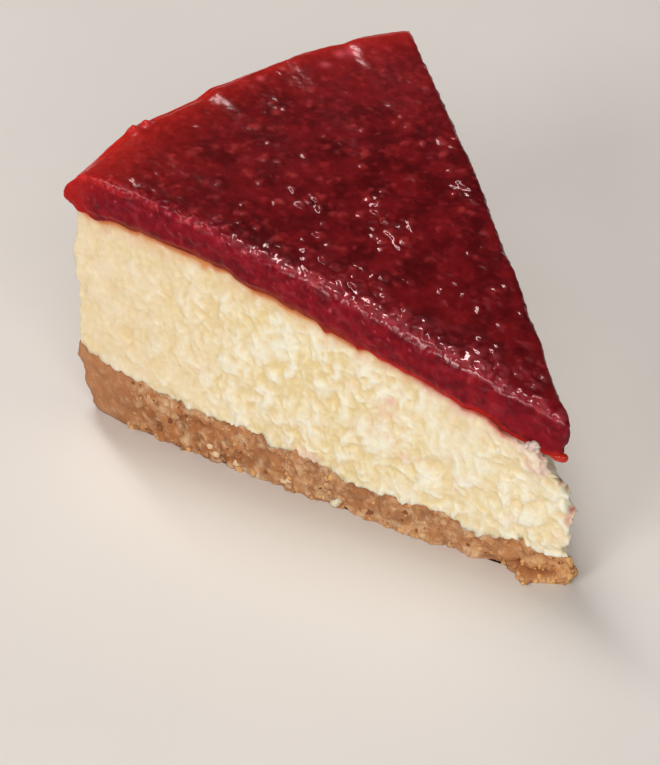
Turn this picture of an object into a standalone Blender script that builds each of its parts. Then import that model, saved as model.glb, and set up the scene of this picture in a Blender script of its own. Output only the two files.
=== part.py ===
"""A slice of raspberry cheesecake, an eighth of a 20 cm cake, in three layers that run right through it.

biscuit_base    pressed biscuit crumb, thicker where it was pushed up against the tin
cream_filling   soft cheese filling, with rough cut faces and a torn, slumped tip
berry_topping   set raspberry jelly, which bulges past the filling at the rim and drips at the tip

Metres, +Z up. The slice stands on its base. Its tip points to -Y and its rim to +Y.
Each layer is a block of (u, v, level): u runs from the tip (0) to the rim (1), v from the left cut
face (-1) to the right one (1), and level from the layer's underside (0) to its top (1).
"""

import math

import bmesh
import bpy
from mathutils import Vector, noise

MM = 0.001

# The cake and its cut
CAKE_RADIUS = 101.6 * MM  # an 8 inch tin
SLICE_ANGLE = math.radians(45)  # an eighth of the cake
TIP_RADIUS = 1.2 * MM  # the tip is cut off blunt this far from the cake's centre

# Heights
RIM_HEIGHT = 53 * MM
RIGHT_RISE = 1.2 * MM  # the rim stands this much higher at the right cut
LIP_RISE = 1 * MM  # the jelly set higher against the tin, along the right half of the rim
LIP_WIDTH = 0.1
TIP_HEIGHT = 36 * MM  # the cut tip has slumped
SLUMP_POWER = 1.8  # how late the top starts to fall towards the tip
BASE_RIM = 11.8 * MM  # biscuit layer just inside the rim
BASE_TIP = 6 * MM
BASE_POWER = 1.6
BASE_KERB = 3.5 * MM  # crumb pushed up the side of the tin, over KERB_WIDTH of the radius
KERB_WIDTH = 0.045
JELLY_RIM = 7.2 * MM
JELLY_TIP = 9.2 * MM  # the jelly fills the dip in the middle of the cake
JELLY_POWER = 3
GAP = 0.3 * MM  # between layers

# Cut faces: they belly out by LEFT_BULGE halfway along, and draw in over CORNER_WIDTH of the
# radius where they meet the rim, by the CORNER_DRAW for each height
LEFT_BULGE = 0.8 * MM
CORNER_DRAW = [(0, 2.8 * MM), (6 * MM, 1.6 * MM), (15 * MM, 0.5 * MM)]
CORNER_WIDTH = 0.18
BELLY_POWER = 3  # how a cut face's shape fades towards the middle of the slice
EDGE_POWER = 9

# Rim: how far it stands out from the cake's radius at each height, as the tin rounds the bottom
RIM_PROFILE = [(0, -2.4 * MM), (3 * MM, -1.3 * MM), (8 * MM, -0.3 * MM), (15 * MM, 0.3 * MM)]
RIM_POWER = 12

# Tip: how far it reaches past its straight cut at each height, towards TIP_SIDE
TIP_SIDE = Vector((0.79, -0.61, 0))
TIP_REACH = [
    (0, 2.4 * MM),
    (3 * MM, 3.4 * MM),
    (6.5 * MM, 2.6 * MM),
    (9 * MM, 1.0 * MM),
    (15 * MM, 2.6 * MM),
    (20 * MM, 1.4 * MM),
    (27 * MM, -2.4 * MM),
]
JELLY_TIP_REACH = -0.2 * MM
TIP_POWER = 9

# The jelly's sides: (share of its depth, how far it stands out from the filling below)
JELLY_LEVELS = [0, 0.18, 0.5, 0.8, 0.94, 1]
JELLY_RIM_SIDE = [0.6 * MM, 1.8 * MM, 2.1 * MM, 1.2 * MM, -0.1 * MM, -1.5 * MM]
JELLY_CUT_SIDE = [0, 0.5 * MM, 0.5 * MM, 0.1 * MM, -0.3 * MM, -1.1 * MM]
OVERHANG_START = 1 / 6  # share of the radius over which the cut sides' overhang starts

# The drip at the right of the jelly's tip
DRIP_LENGTH = 2.6 * MM
DRIP_SPREAD = 2.2 * MM
DRIP_WAY = Vector((0.8, -0.5, -0.1))

# Relief: (length of a bump, height of a bump)
FILLING_RELIEF = (5 * MM, 0.7 * MM)
TIP_RELIEF = (4 * MM, 1.2 * MM)
BASE_RELIEF = (3.4 * MM, 0.7 * MM)
JELLY_RELIEF = (7 * MM, 0.45 * MM)
SEAM_RELIEF = (9 * MM, 0.8 * MM)  # waviness of the lines between layers
RIM_RELIEF = (16 * MM, 0.9 * MM)

# Mesh steps
ROWS = 40
ROW_EASE = 0.6  # how much closer the rows lie at the tip and the rim than halfway
COLUMNS = 12
BASE_LEVELS = [0, 0.2, 0.5, 0.8, 1]
FILLING_LEVELS = [0, 0.11, 0.22, 0.33, 0.44, 0.56, 0.67, 0.78, 0.89, 1]
SHARP_ANGLE = math.radians(50)

# Linear colours
BISCUIT_COLOUR = (0.48, 0.22, 0.09)
CREAM_COLOUR = (0.88, 0.76, 0.50)
JELLY_COLOUR = (0.30, 0.01, 0.015)


def between(a, b, share):
    return a + (b - a) * share


def along(profile, x):
    """The value at x of a profile of (x, value) points, eased from each point to the next."""
    if x <= profile[0][0]:
        return profile[0][1]
    for (x0, y0), (x1, y1) in zip(profile, profile[1:]):
        if x <= x1:
            share = (x - x0) / (x1 - x0)
            return between(y0, y1, share * share * (3 - 2 * share))
    return profile[-1][1]


def bump(relief, place, seed):
    """A smooth bump field: about -1 to 1 times the relief's height, at this place."""
    length, height = relief
    return height * noise.noise(place / length + Vector((seed, 2 * seed, 3 * seed)))


def polar(u, v):
    """The unshaped place in plan of (u, v), with the cake's centre at the origin."""
    radius = between(TIP_RADIUS, CAKE_RADIUS, u)
    angle = SLICE_ANGLE / 2 * v
    return Vector((radius * math.sin(angle), radius * math.cos(angle), 0))


def cut_normal(v):
    """Outward, square to the cut face on that side."""
    side = math.copysign(1, v)
    return Vector((side * math.cos(SLICE_ANGLE / 2), -math.sin(SLICE_ANGLE / 2), 0))


def shaped(u, v, height, reach):
    """The place of (u, v) at this height, with the slice's belly, its rim, and its tip's reach."""
    place = polar(u, v)
    outward = place.normalized()
    if v < 0:
        place += cut_normal(v) * (LEFT_BULGE * math.sin(math.pi * u) * abs(v) ** BELLY_POWER)
    corner = max(0, 1 - (1 - u) / CORNER_WIDTH) ** 2
    place -= cut_normal(v) * (along(CORNER_DRAW, height) * corner * abs(v) ** EDGE_POWER)
    place += outward * (along(RIM_PROFILE, height) * u**RIM_POWER)
    place += TIP_SIDE * (reach * (1 - u) ** TIP_POWER)
    place.z = height
    return place


def seam(u, v, seed):
    return bump(SEAM_RELIEF, polar(u, v), seed)


def base_top(u, v):
    kerb = BASE_KERB * math.exp((u - 1) / KERB_WIDTH)
    return between(BASE_TIP, BASE_RIM, u**BASE_POWER) + kerb + seam(u, v, 11)


def cake_top(u, v):
    rim = RIM_HEIGHT + RIGHT_RISE * (1 + v) / 2
    lip = LIP_RISE * along([(-0.2, 0), (0.3, 1)], v) * math.exp((u - 1) / LIP_WIDTH)
    return between(rim, TIP_HEIGHT, (1 - u) ** SLUMP_POWER) + lip


def filling_top(u, v):
    return cake_top(u, v) - between(JELLY_TIP, JELLY_RIM, u**JELLY_POWER) + seam(u, v, 23)


def roughened(place, u, v, relief, seed):
    """place pushed in or out across the cut faces and the rim, where it lies on one of them."""
    if abs(v) == 1:
        place = place + cut_normal(v) * bump(relief, place, seed)
    if u == 1:
        place = place + place.normalized() * bump(RIM_RELIEF, place, seed + 5)
    return place


def base_point(u, v, level):
    height = level * base_top(u, v)
    place = shaped(u, v, height, along(TIP_REACH, height))
    if 0 < level < 1:
        place = roughened(place, u, v, BASE_RELIEF, 31)
    return place


def filling_point(u, v, level):
    height = between(base_top(u, v) + GAP, filling_top(u, v), level)
    place = shaped(u, v, height, along(TIP_REACH, height))
    if 0 < level < 1:
        place = roughened(place, u, v, FILLING_RELIEF, 41)
        torn = (1 - u) ** TIP_POWER
        place.x += bump(TIP_RELIEF, place, 43) * torn
        place.y += bump(TIP_RELIEF, place, 47) * torn
    return place


def drip(u, v, level):
    """The pull of the drip on the jelly's side, at the right of its tip."""
    away = polar(u, v) - polar(0, 1)
    fade = math.exp(-((away.length / DRIP_SPREAD) ** 2)) * (1 - level) ** 2
    return DRIP_WAY * (DRIP_LENGTH * fade)


def jelly_point(u, v, level):
    bottom = filling_top(u, v) + GAP
    place = shaped(u, v, bottom, JELLY_TIP_REACH)
    place.z = between(bottom, cake_top(u, v), level)
    cut_side = along(list(zip(JELLY_LEVELS, JELLY_CUT_SIDE)), level)
    rim_side = along(list(zip(JELLY_LEVELS, JELLY_RIM_SIDE)), level)
    place += cut_normal(v) * (cut_side * abs(v) ** EDGE_POWER * min(1, u / OVERHANG_START))
    place += place.normalized() * (rim_side * u**RIM_POWER)
    if level == 1:
        place.z += bump(JELLY_RELIEF, place, 53)
    elif level > 0:
        place = roughened(place, u, v, JELLY_RELIEF, 59)
        place += drip(u, v, level)
    return place


def row_share(i):
    t = i / ROWS
    return t - ROW_EASE * math.sin(2 * math.pi * t) / (2 * math.pi)


def block(name, material, point, levels):
    """A closed block whose surface vertices are point(u, v, level)."""
    mesh = bmesh.new()
    top = len(levels) - 1
    made = {}

    def vertex(i, j, k):
        if (i, j, k) not in made:
            made[i, j, k] = mesh.verts.new(point(row_share(i), 2 * j / COLUMNS - 1, levels[k]))
        return made[i, j, k]

    def face(corners):
        mesh.faces.new([vertex(*corner) for corner in corners])

    for i in range(ROWS):
        for k in (0, top):
            for j in range(COLUMNS):
                face([(i, j, k), (i + 1, j, k), (i + 1, j + 1, k), (i, j + 1, k)])
        for j in (0, COLUMNS):
            for k in range(top):
                face([(i, j, k), (i + 1, j, k), (i + 1, j, k + 1), (i, j, k + 1)])
    for i in (0, ROWS):
        for j in range(COLUMNS):
            for k in range(top):
                face([(i, j, k), (i, j + 1, k), (i, j + 1, k + 1), (i, j, k + 1)])
    bmesh.ops.recalc_face_normals(mesh, faces=mesh.faces)
    data = bpy.data.meshes.new(name)
    mesh.to_mesh(data)
    mesh.free()
    data.materials.append(material)
    data.shade_smooth()
    data.set_sharp_from_angle(angle=SHARP_ANGLE)
    layer = bpy.data.objects.new(name, data)
    bpy.context.scene.collection.objects.link(layer)
    return layer


def food(name, colour, roughness, subsurface):
    """A Principled material with this colour right through."""
    material = bpy.data.materials.new(name)
    material.use_nodes = True
    shader = material.node_tree.nodes["Principled BSDF"]
    shader.inputs["Base Color"].default_value = (*colour, 1)
    shader.inputs["Roughness"].default_value = roughness
    shader.inputs["Metallic"].default_value = 0
    shader.inputs["Subsurface Weight"].default_value = subsurface
    shader.inputs["Subsurface Scale"].default_value = 2 * MM
    return material


def centre(layers):
    """Moves the layers so that the origin is at the middle of the underside of their box."""
    places = [vertex.co for layer in layers for vertex in layer.data.vertices]
    middle = [(min(p[axis] for p in places) + max(p[axis] for p in places)) / 2 for axis in (0, 1)]
    for layer in layers:
        for vertex in layer.data.vertices:
            vertex.co.x -= middle[0]
            vertex.co.y -= middle[1]


def main():
    for old in list(bpy.data.objects):
        bpy.data.objects.remove(old)
    biscuit = food("biscuit", BISCUIT_COLOUR, roughness=0.8, subsurface=0)
    cream = food("cream", CREAM_COLOUR, roughness=0.5, subsurface=0.3)
    jelly = food("jelly", JELLY_COLOUR, roughness=0.12, subsurface=0.3)
    layers = [
        block("biscuit_base", biscuit, base_point, BASE_LEVELS),
        block("cream_filling", cream, filling_point, FILLING_LEVELS),
        block("berry_topping", jelly, jelly_point, JELLY_LEVELS),
    ]
    centre(layers)


main()
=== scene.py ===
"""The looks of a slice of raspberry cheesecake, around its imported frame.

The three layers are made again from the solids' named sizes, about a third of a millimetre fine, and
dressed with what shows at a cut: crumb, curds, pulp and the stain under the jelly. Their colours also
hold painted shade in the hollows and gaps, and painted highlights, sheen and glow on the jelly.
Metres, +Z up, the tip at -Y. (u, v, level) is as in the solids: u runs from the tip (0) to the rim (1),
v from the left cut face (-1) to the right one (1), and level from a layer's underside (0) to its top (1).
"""

import math

import bmesh
import bpy
import numpy as np
from mathutils import Matrix, Vector, noise


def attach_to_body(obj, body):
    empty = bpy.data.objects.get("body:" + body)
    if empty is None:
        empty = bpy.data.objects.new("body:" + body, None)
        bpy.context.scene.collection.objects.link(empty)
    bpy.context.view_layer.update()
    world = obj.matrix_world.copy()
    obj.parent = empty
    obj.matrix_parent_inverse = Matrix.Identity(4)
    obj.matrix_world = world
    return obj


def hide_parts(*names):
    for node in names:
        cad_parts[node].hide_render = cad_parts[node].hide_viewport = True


MM = 0.001
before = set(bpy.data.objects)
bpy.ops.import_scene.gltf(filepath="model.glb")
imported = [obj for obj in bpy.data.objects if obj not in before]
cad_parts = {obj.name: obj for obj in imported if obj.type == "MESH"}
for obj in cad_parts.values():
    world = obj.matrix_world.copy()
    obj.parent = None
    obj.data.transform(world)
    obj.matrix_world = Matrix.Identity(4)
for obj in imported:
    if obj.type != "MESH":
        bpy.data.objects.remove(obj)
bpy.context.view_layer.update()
random = np.random.default_rng(8)

# ------------ the slice's sizes
# As in the solids, but CORNER_DRAW, RIM_PROFILE and TIP_REACH follow the photo up to 1.5 mm closer

CAKE_RADIUS = 101.6 * MM
SLICE_ANGLE = math.radians(45)
TIP_RADIUS = 1.2 * MM

RIM_HEIGHT = 53 * MM
RIGHT_RISE = 1.2 * MM
LIP_RISE = 1 * MM
LIP_WIDTH = 0.1
TIP_HEIGHT = 36 * MM
SLUMP_POWER = 1.8
BASE_RIM = 11.8 * MM
BASE_TIP = 6 * MM
BASE_POWER = 1.6
BASE_KERB = 3.5 * MM
KERB_WIDTH = 0.045
JELLY_RIM = 7.2 * MM
JELLY_TIP = 9.2 * MM
JELLY_POWER = 3

LEFT_BULGE = 0.8 * MM
CORNER_DRAW = [(0, 2.0 * MM), (6 * MM, 1.5 * MM), (15 * MM, 0.5 * MM)]
CORNER_WIDTH = 0.18
BELLY_POWER = 3
EDGE_POWER = 9
RIM_PROFILE = [(0, -1.8 * MM), (3 * MM, -1.2 * MM), (8 * MM, -0.3 * MM), (15 * MM, 0.3 * MM)]
RIM_POWER = 12

TIP_SIDE = np.array((0.79, -0.61, 0))
TIP_REACH = [
    (0, 1.7 * MM),
    (3 * MM, 3.0 * MM),
    (6.5 * MM, 2.0 * MM),
    (9 * MM, 0.4 * MM),
    (15 * MM, 2.1 * MM),
    (20 * MM, 0.8 * MM),
    (27 * MM, -3.9 * MM),
]
JELLY_TIP_REACH = -0.2 * MM
TIP_POWER = 9

OVERHANG_START = 1 / 6

FILLING_RELIEF = (5 * MM, 0.7 * MM)
TIP_RELIEF = (4 * MM, 1.2 * MM)
BASE_RELIEF = (3.4 * MM, 0.7 * MM)
JELLY_RELIEF = (7 * MM, 0.45 * MM)
SEAM_RELIEF = (9 * MM, 0.8 * MM)
RIM_RELIEF = (16 * MM, 0.9 * MM)

# The cake's centre in the row frame, where the solids' box is centred on the origin
CAKE_CENTRE = np.array((-0.07 * MM, -51.44 * MM, 0))

# ------------ sizes of the finer surface

BASE_STEP = 0.36 * MM
FILLING_STEP = 0.33 * MM
JELLY_STEP = 0.30 * MM
HIDDEN_COLUMNS = 8
# As far as this u, a layer's top may show beside the one above it
BARE_TIP = 0.12

# The jelly's sides as (level, bulge); the radius of its top edge at the left cut, as (u, radius), at the
# right one and at the rim
JELLY_CUT_BULGE = [(0, 0.1 * MM), (0.25, 0.5 * MM), (0.55, 0.5 * MM), (1, 0.1 * MM)]
JELLY_RIM_BULGE = [(0, 1.5 * MM), (0.3, 2.0 * MM), (0.55, 2.0 * MM), (1, 0.9 * MM)]
LEFT_ROUND = [(0, 2.4 * MM), (0.3, 2.8 * MM), (0.55, 2.6 * MM), (0.75, 1.5 * MM), (1, 1.3 * MM)]
RIGHT_ROUND = 1.6 * MM
RIM_ROUND = 3.6 * MM
ARC_SHARE = 1 - math.cos(math.pi / 4)


# ------------ numbers and noise

def between(a, b, share):
    return a + (b - a) * share


def ease(low, high, x):
    share = np.clip((x - low) / (high - low), 0, 1)
    return share * share * (3 - 2 * share)


def along(profile, x):
    """The value at x of a profile of (x, value) points, eased from each point to the next."""
    xs, ys = np.array(profile, float).T
    x = np.clip(x, xs[0], xs[-1])
    i = np.clip(np.searchsorted(xs, x, side="right") - 1, 0, len(xs) - 2)
    share = (x - xs[i]) / (xs[i + 1] - xs[i])
    return between(ys[i], ys[i + 1], share * share * (3 - 2 * share))


def column(values):
    return np.asarray(values, float)[:, None]


def unit(vectors):
    return vectors / np.maximum(np.linalg.norm(vectors, axis=1, keepdims=True), 1e-12)


def scaled(places, length, seed, stretch):
    return places / (np.array(stretch) * length) + np.array((seed, 2 * seed, 3 * seed))


def field(places, length, seed, stretch=(1, 1, 1)):
    """A smooth noise field at these places, about -1 to 1."""
    return np.array([noise.noise(place) for place in scaled(places, length, seed, stretch)])


def rough(places, length, seed, stretch=(1, 1, 1), octaves=4):
    """A noise field with finer and finer detail, about -1 to 1."""
    found = scaled(places, length, seed, stretch)
    return np.array([noise.fractal(place, 0.9, 2.1, octaves) for place in found])


def billowed(places, length, seed, stretch=(1, 1, 1), octaves=2):
    """Rounded lumps with creases between them, about -0.35 to 0.4."""
    found = scaled(places, length, seed, stretch)
    middle = 0.225 * (2 - 0.5 ** (octaves - 1))
    return np.array([noise.turbulence(place, octaves, True) for place in found]) - middle


def fading(distance, width):
    """1 where the distance is 0, fading to nothing at about twice the width."""
    return np.exp(-((distance / width) ** 2))


def warped(places, length, amount, seed):
    """The places, each shifted by up to about this amount, so that a pattern laid on them runs uneven."""
    return places + amount * np.stack([field(places, length, seed + 2 * axis) for axis in range(3)], axis=1)


# Odd numbers that spread the cells' random draws evenly
HASH_AXIS = np.array((12.99, 78.23, 37.72))
HASH_SCALE = 4375.85


def cells(places, length, seed, stretch=(1, 1, 1)):
    """Of a scatter of points: the distance to the nearest, how much farther the next one is, and a
    random number that belongs to the nearest. Distances are shares of the length."""
    near, margin, centres = [], [], []
    for place in scaled(places, length, seed, stretch):
        distances, points = noise.voronoi(place)
        near.append(distances[0])
        margin.append(distances[1] - distances[0])
        centres.append(points[0])
    draw = np.modf(np.abs(np.sin(np.array(centres) @ HASH_AXIS) * HASH_SCALE))[0]
    return np.array(near), np.array(margin), draw


def bump(relief, places, seed):
    length, height = relief
    return height * field(places, length, seed)


# ------------ the slice's shape
# As in the solids, with the finer seams below added to the layers' tops

def radius_at(u):
    return between(TIP_RADIUS, CAKE_RADIUS, u)


def half_width(u):
    return radius_at(u) * math.sin(SLICE_ANGLE / 2)


def polar(u, v):
    radius = radius_at(u)
    angle = SLICE_ANGLE / 2 * v
    return np.stack([radius * np.sin(angle), radius * np.cos(angle), 0 * radius], axis=1)


def cut_normal(v):
    side = np.copysign(1, v)
    across = side * math.cos(SLICE_ANGLE / 2)
    return np.stack([across, 0 * side - math.sin(SLICE_ANGLE / 2), 0 * side], axis=1)


def shaped(u, v, height, reach):
    places = polar(u, v)
    outward = unit(places)
    belly = LEFT_BULGE * np.sin(math.pi * u) * np.abs(v) ** BELLY_POWER * (v < 0)
    corner = np.maximum(0, 1 - (1 - u) / CORNER_WIDTH) ** 2
    draw = along(CORNER_DRAW, height) * corner * np.abs(v) ** EDGE_POWER
    places += cut_normal(v) * column(belly - draw)
    places += outward * column(along(RIM_PROFILE, height) * u**RIM_POWER)
    places += TIP_SIDE * column(reach * (1 - u) ** TIP_POWER)
    places[:, 2] = height
    return places


def seam(u, v, seed):
    return bump(SEAM_RELIEF, polar(u, v), seed)


def base_top(u, v):
    kerb = BASE_KERB * np.exp((u - 1) / KERB_WIDTH)
    return between(BASE_TIP, BASE_RIM, u**BASE_POWER) + kerb + seam(u, v, 11) + crumbling(u, v)


def cake_top(u, v):
    rim = RIM_HEIGHT + RIGHT_RISE * (1 + v) / 2
    lip = LIP_RISE * along([(-0.2, 0), (0.3, 1)], v) * np.exp((u - 1) / LIP_WIDTH)
    return between(rim, TIP_HEIGHT, (1 - u) ** SLUMP_POWER) + lip


def filling_top(u, v):
    depth = between(JELLY_TIP, JELLY_RIM, u**JELLY_POWER)
    return cake_top(u, v) - depth + seam(u, v, 23) - drooping(u, v)


def place_of(points, *params):
    """What a function of (u, v, level) arrays gives for a single place."""
    return points(*(np.array([value], float) for value in params))


def roughened(places, u, v, relief, seed):
    cut = bump(relief, places, seed) * (np.abs(v) == 1)
    rim = bump(RIM_RELIEF, places, seed + 5) * (u == 1)
    return places + cut_normal(v) * column(cut) + unit(places) * column(rim)


def rounded(radius, below):
    """How far in a rounded edge lies at this depth below its top."""
    left = np.clip(radius - below, 0, radius)
    return radius - np.sqrt(radius**2 - left**2)


# ------------ the finer seams

# The left cut face is where v is under this
LEFT_FACE = -0.98
SEAM_STEPS = (1.6 * MM, 0.75 * MM)
SEAM_DROOP = (2.4 * MM, 0.42 * MM)
TIP_TUCK = 1.2 * MM
TIP_TUCK_WIDTH = 0.10
TIP_TAPER = 0.8 * MM
JELLY_LIFT = 1.5 * MM
JELLY_LIFT_WIDTH = 0.016
# Where the jelly hangs lower down the left cut face, as (u, drop, half width)
DROOPS = [
    (0.945, 1.3 * MM, 1.6 * MM),
    (0.974, 0.7 * MM, 1.0 * MM),
    (0.55, 0.5 * MM, 2.0 * MM),
    (0.474, 0.9 * MM, 1.0 * MM),
    (0.406, 0.7 * MM, 0.9 * MM),
    (0.19, 0.6 * MM, 1.5 * MM),
]
# How much higher than their smooth seams the jelly's lower edge and the base's upper edge run there
JELLY_EDGE_RISE = [
    (0.09, 0),
    (0.14, 0.9 * MM),
    (0.18, 1.0 * MM),
    (0.25, 0.4 * MM),
    (0.42, 0.5 * MM),
    (0.60, 1.2 * MM),
    (0.77, 2.0 * MM),
    (0.82, 1.8 * MM),
    (0.89, 0.5 * MM),
]
BASE_EDGE_RISE = [
    (0.05, 0),
    (0.086, 1.2 * MM),
    (0.115, 0),
    (0.14, -0.7 * MM),
    (0.175, -0.8 * MM),
    (0.203, 0.2 * MM),
    (0.233, 1.2 * MM),
    (0.26, 0.3 * MM),
    (0.33, -0.8 * MM),
    (0.42, -0.7 * MM),
    (0.47, 0.4 * MM),
    (0.51, 0.8 * MM),
    (0.542, 0.6 * MM),
    (0.573, -0.5 * MM),
    (0.605, 1.9 * MM),
    (0.637, 2.2 * MM),
    (0.67, 1.4 * MM),
    (0.70, 0.6 * MM),
    (0.74, 0),
    (0.87, 0.7 * MM),
    (0.95, 0),
]


def crumbling(u, v):
    """The ragged top edge of the crumb base."""
    length, height = SEAM_STEPS
    return height * rough(polar(u, v), length, 61) + (v < LEFT_FACE) * along(BASE_EDGE_RISE, u)


def drooping(u, v):
    """How far the jelly's lower edge hangs below its smooth seam."""
    length, height = SEAM_DROOP
    places = polar(u, v)
    patchy = between(0.25, 1, ease(-0.1, 0.5, field(places, 14 * MM, 65)) + ease(0.8, 0.9, u))
    hang = height * patchy * rough(places, length, 67) - TIP_TUCK * fading(u, TIP_TUCK_WIDTH)
    hang -= (v < LEFT_FACE) * along(JELLY_EDGE_RISE, u)
    for at, drop, width in DROOPS:
        hang += (v < LEFT_FACE) * drop * fading((u - at) * CAKE_RADIUS, width)
    return hang


# ------------ meshes

def zipped(first, second):
    """Triangles between two rows of vertices of different counts."""
    made = []
    i = j = 0
    while i < len(first) - 1 or j < len(second) - 1:
        if (i + 1) * (len(second) - 1) <= (j + 1) * (len(first) - 1):
            made.append((first[i], first[i + 1], second[j]))
            i += 1
        else:
            made.append((first[i], second[j + 1], second[j]))
            j += 1
    return made


def layer_grid(step, depth, top_fine, bottom_fine):
    """(u, v, level) of each vertex and the faces of a closed block whose shown sides are step fine."""
    rows = round(CAKE_RADIUS / step)
    levels = round(depth / step)
    params = []

    def vertex(u, v, level):
        params.append((u, v, level))
        return len(params) - 1

    def post(u, v):
        return [vertex(u, v, k / levels) for k in range(levels + 1)]

    def columns(u):
        return max(2, round(radius_at(u) * SLICE_ANGLE / step))

    walls = [[post(i / rows, v) for i in range(rows + 1)] for v in (-1, 1)]
    ends = []
    for u, i in ((0, 0), (1, rows)):
        count = columns(u)
        inner = [post(u, 2 * j / count - 1) for j in range(1, count)]
        ends.append([walls[0][i], *inner, walls[1][i]])
    faces = []
    for grid in (*walls, *ends):
        for near, far in zip(grid, grid[1:]):
            for k in range(levels):
                faces.append((near[k], far[k], far[k + 1], near[k + 1]))
    for k, level, fine in ((0, 0, bottom_fine), (levels, 1, top_fine)):
        lines = []
        for i in range(rows + 1):
            if i in (0, rows):
                lines.append([post[k] for post in ends[i == rows]])
                continue
            count = columns(i / rows) if fine or i < BARE_TIP * rows else HIDDEN_COLUMNS
            inner = [vertex(i / rows, 2 * j / count - 1, level) for j in range(1, count)]
            lines.append([walls[0][i][k], *inner, walls[1][i][k]])
        for near, far in zip(lines, lines[1:]):
            faces += zipped(near, far)
    u, v, level = np.array(params, float).T
    return u, v, level, faces


def mesh_object(name, places, faces, smooth=True):
    data = bpy.data.meshes.new(name)
    data.from_pydata(places.tolist(), [], faces)
    if smooth:
        data.shade_smooth()
    piece = bpy.data.objects.new(name, data)
    bpy.context.scene.collection.objects.link(piece)
    return piece


def turn_outward(piece):
    mesh = bmesh.new()
    mesh.from_mesh(piece.data)
    bmesh.ops.recalc_face_normals(mesh, faces=mesh.faces)
    mesh.to_mesh(piece.data)
    mesh.free()


def set_tint(piece, colours):
    """The piece's colour at each vertex, painted light and shade included where there is any, which its
    material reads.
    """
    attribute = piece.data.color_attributes.new("tint", "FLOAT_COLOR", "POINT")
    rgba = np.concatenate([colours, np.ones((len(colours), 1))], axis=1)
    attribute.data.foreach_set("color", rgba.astype(np.float32).reshape(-1))


def set_matt(piece, values):
    """The piece's own roughness at each vertex, which its material reads."""
    attribute = piece.data.attributes.new("matt", "FLOAT", "POINT")
    attribute.data.foreach_set("value", np.asarray(values, np.float32))


def mixed(colours, other, share):
    return between(colours, np.array(other), column(np.clip(share, 0, 1)))


def plain(colour, count):
    return np.tile(np.array(colour, float), (count, 1))


def layered(colours, layers):
    """The colours with each layer in turn mixed in, as (colour, share)."""
    for colour, share in layers:
        colours = mixed(colours, colour, share)
    return colours


def spot(u, height, at, half):
    """1 at a place on a cut face, fading over its half sizes along the face and up it."""
    away = ((u - at[0]) * CAKE_RADIUS / half[0]) ** 2 + ((height - at[1]) / half[1]) ** 2
    return np.exp(-away)


# ------------ biscuit base

BISCUIT_BROWN = (0.485, 0.216, 0.088)
BISCUIT_ORANGE = (0.535, 0.215, 0.066)
BISCUIT_DARK = (0.24, 0.080, 0.026)
# Rust brown of patches in the crumb, and the colour of painted shade above the broken piece at the tip
BISCUIT_RUST_AND_SHADE = (0.42, 0.135, 0.032)
BISCUIT_PALE = (0.68, 0.39, 0.20)
BISCUIT_GOLD = (0.83, 0.46, 0.17)
BISCUIT_BAKED = (0.46, 0.20, 0.085)
BISCUIT_CREAMY = (0.85, 0.62, 0.38)

CRUMB = 2.4 * MM
FINE_CRUMB = 1.0 * MM
CHIP_HEIGHT = 1.6 * MM
# The piece broken half away from the bottom edge at the tip: how far it stands out along u, and its height
CHUNK = [
    (0, 0),
    (0.018, 0.2 * MM),
    (0.035, 1.0 * MM),
    (0.060, 2.6 * MM),
    (0.072, 2.3 * MM),
    (0.086, 1.2 * MM),
    (0.108, 0),
]
CHUNK_TOP = 1.3 * MM
# A notch beside it, as (u, height)
NOTCH = (0.122, 0.4 * MM)
NOTCH_HALF = (2.2 * MM, 1.1 * MM)
NOTCH_DEPTH = 1.3 * MM
CRACK_DEPTH = 0.6 * MM
UNDER_RELIEF = 0.4 * MM


def crumb_cells(places):
    """Of the crumb: the gap to the next lump and a random number for each, coarse and then fine."""
    uneven = warped(places, 1.4 * MM, 0.7 * MM, 69)
    _, margin, draw = cells(uneven, CRUMB, 71, (1, 1, 1.4))
    _, fine_margin, fine_draw = cells(uneven, FINE_CRUMB, 73)
    return margin, draw, fine_margin, fine_draw


def chunk_marks(u, v, height):
    """How far the loose piece at the tip stands out, and 1 in the crack above it."""
    places = polar(u, v)
    places[:, 2] = height
    out = along(CHUNK, u) * (v < LEFT_FACE) * (1 + 0.3 * rough(places, 1.1 * MM, 87))
    top = CHUNK_TOP + 0.6 * MM * rough(polar(u, v), 1.5 * MM, 89)
    stand = out * ease(top + 0.3 * MM, top - 0.7 * MM, height)
    crack = fading(height - top - 0.4 * MM, 0.3 * MM)
    return stand, crack * ease(0.3 * MM, 1.2 * MM, out)


def base_relief(places, u, v, height):
    margin, draw, fine_margin, fine_draw = crumb_cells(places)
    relief = 0.50 * MM * (draw - 0.5) * ease(0, 0.25, margin) + 0.9 * MM * billowed(places, 2.8 * MM, 77)
    fine = 0.34 * MM * (fine_draw - 0.5) * ease(0, 0.3, fine_margin)
    relief += fine + 0.25 * MM * rough(places, 3 * MM, 83)
    relief -= 0.7 * MM * np.maximum(0, rough(places, 2.6 * MM, 79)) * ease(CHIP_HEIGHT, 0, height)
    _, crack = chunk_marks(u, v, height)
    swell = 0.5 * MM * ease(1.5 * MM, 0, height) * ease(0.40, 0.3, u) * ease(0.13, 0.17, u)
    relief += swell * (v < LEFT_FACE)
    return relief - CRACK_DEPTH * crack - NOTCH_DEPTH * spot(u, height, NOTCH, NOTCH_HALF) * (v < 0)


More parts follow.
